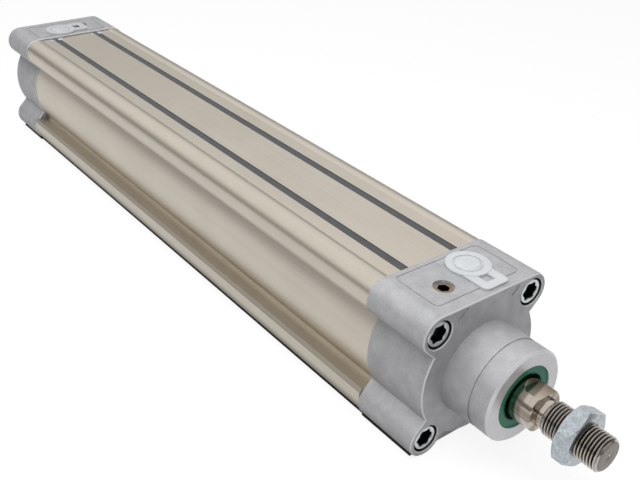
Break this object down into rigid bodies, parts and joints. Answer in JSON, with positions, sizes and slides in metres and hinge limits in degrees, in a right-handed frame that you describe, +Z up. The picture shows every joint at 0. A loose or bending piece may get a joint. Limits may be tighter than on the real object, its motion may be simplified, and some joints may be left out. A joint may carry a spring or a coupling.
{
  "type": "profile cylinder",
  "caption": "Pneumatic profile cylinder with die-cast end caps, anodised barrel with round sides, adjustable end cushioning, port plugs, threaded rod and jam nut.",
  "frame": {"origin": "centre of the front cap's mounting face, on the rod's axis", "axes": "+X out of the rod end along the rod, +Z up through the air ports, +Y across"},
  "size_m": [0.514, 0.075, 0.0768],
  "materials": {
    "anodised_profile": "satin anodised extrusion",
    "cast_cap": "blasted die casting",
    "zinc_screw": "bright zinc plate",
    "cover_strip": "smooth extruded strip",
    "rod_steel": "ground and polished",
    "zinc_nut": "bluish zinc plate",
    "wiper_green": "cast polyurethane",
    "black_rubber": "moulded",
    "bush_bronze": "sintered",
    "white_plastic": "slightly clear moulding",
    "screw_bronze": "turned and oiled",
    "piston_metal": "turned",
    "magnet_plastic": "bonded magnet",
    "band_plastic": "filled bearing tape"
  },
  "bodies": {
    "housing": {"barrel_profile": "anodised_profile", "front_cap": "cast_cap", "rear_cap": "cast_cap", "front_cap_screws": "zinc_screw", "rear_cap_screws": "zinc_screw", "slot_cover_left": "cover_strip", "slot_cover_right": "cover_strip", "front_cap_ring": "black_rubber", "rear_cap_ring": "black_rubber", "front_cushion_seal": "wiper_green", "rear_cushion_seal": "wiper_green", "rod_bearing_bush": "bush_bronze", "rod_wiper_seal": "wiper_green"},
    "guide": {"piston_guide_band": "band_plastic"},
    "rod": {"piston_rod": "rod_steel", "piston_front_half": "piston_metal", "piston_rear_half": "piston_metal", "piston_front_lip_seal": "wiper_green", "piston_rear_lip_seal": "wiper_green", "piston_front_buffer": "black_rubber", "piston_rear_buffer": "black_rubber", "piston_magnet": "magnet_plastic", "piston_stud_ring": "black_rubber", "front_cushion_sleeve": "piston_metal", "rear_cushion_nose": "piston_metal"},
    "nut": {"rod_nut": "zinc_nut"},
    "front_adjuster": {"front_cushion_screw": "screw_bronze", "front_cushion_screw_ring": "black_rubber"},
    "rear_adjuster": {"rear_cushion_screw": "screw_bronze", "rear_cushion_screw_ring": "black_rubber"},
    "front_plug": {"front_port_plug": "white_plastic"},
    "rear_plug": {"rear_port_plug": "white_plastic"}
  },
  "joints": [
    {"name": "rod_slide", "type": "slide", "parent": "housing", "child": "guide", "axis": [1, 0, 0], "range_m": [0, 0.32]},
    {"name": "rod_turn", "type": "hinge", "parent": "guide", "child": "rod", "pos_m": [-0.3815, 0, 0], "axis": [1, 0, 0], "continuous": true},
    {"name": "nut_turn", "type": "hinge", "parent": "rod", "child": "nut", "pos_m": [0.0545, 0, 0], "axis": [1, 0, 0], "continuous": true},
    {"name": "front_cushion_adjust", "type": "hinge", "parent": "housing", "child": "front_adjuster", "pos_m": [-0.016, -0.012, 0.032], "axis": [0, 0, 1], "range_deg": [-360, 720]},
    {"name": "rear_cushion_adjust", "type": "hinge", "parent": "housing", "child": "rear_adjuster", "pos_m": [-0.425, 0.012, 0.032], "axis": [0, 0, 1], "range_deg": [-360, 720]},
    {"name": "front_plug_pull", "type": "slide", "parent": "housing", "child": "front_plug", "axis": [0, 0, 1], "range_m": [0, 0.015]},
    {"name": "rear_plug_pull", "type": "slide", "parent": "housing", "child": "rear_plug", "axis": [0, 0, 1], "range_m": [0, 0.015]}
  ]
}
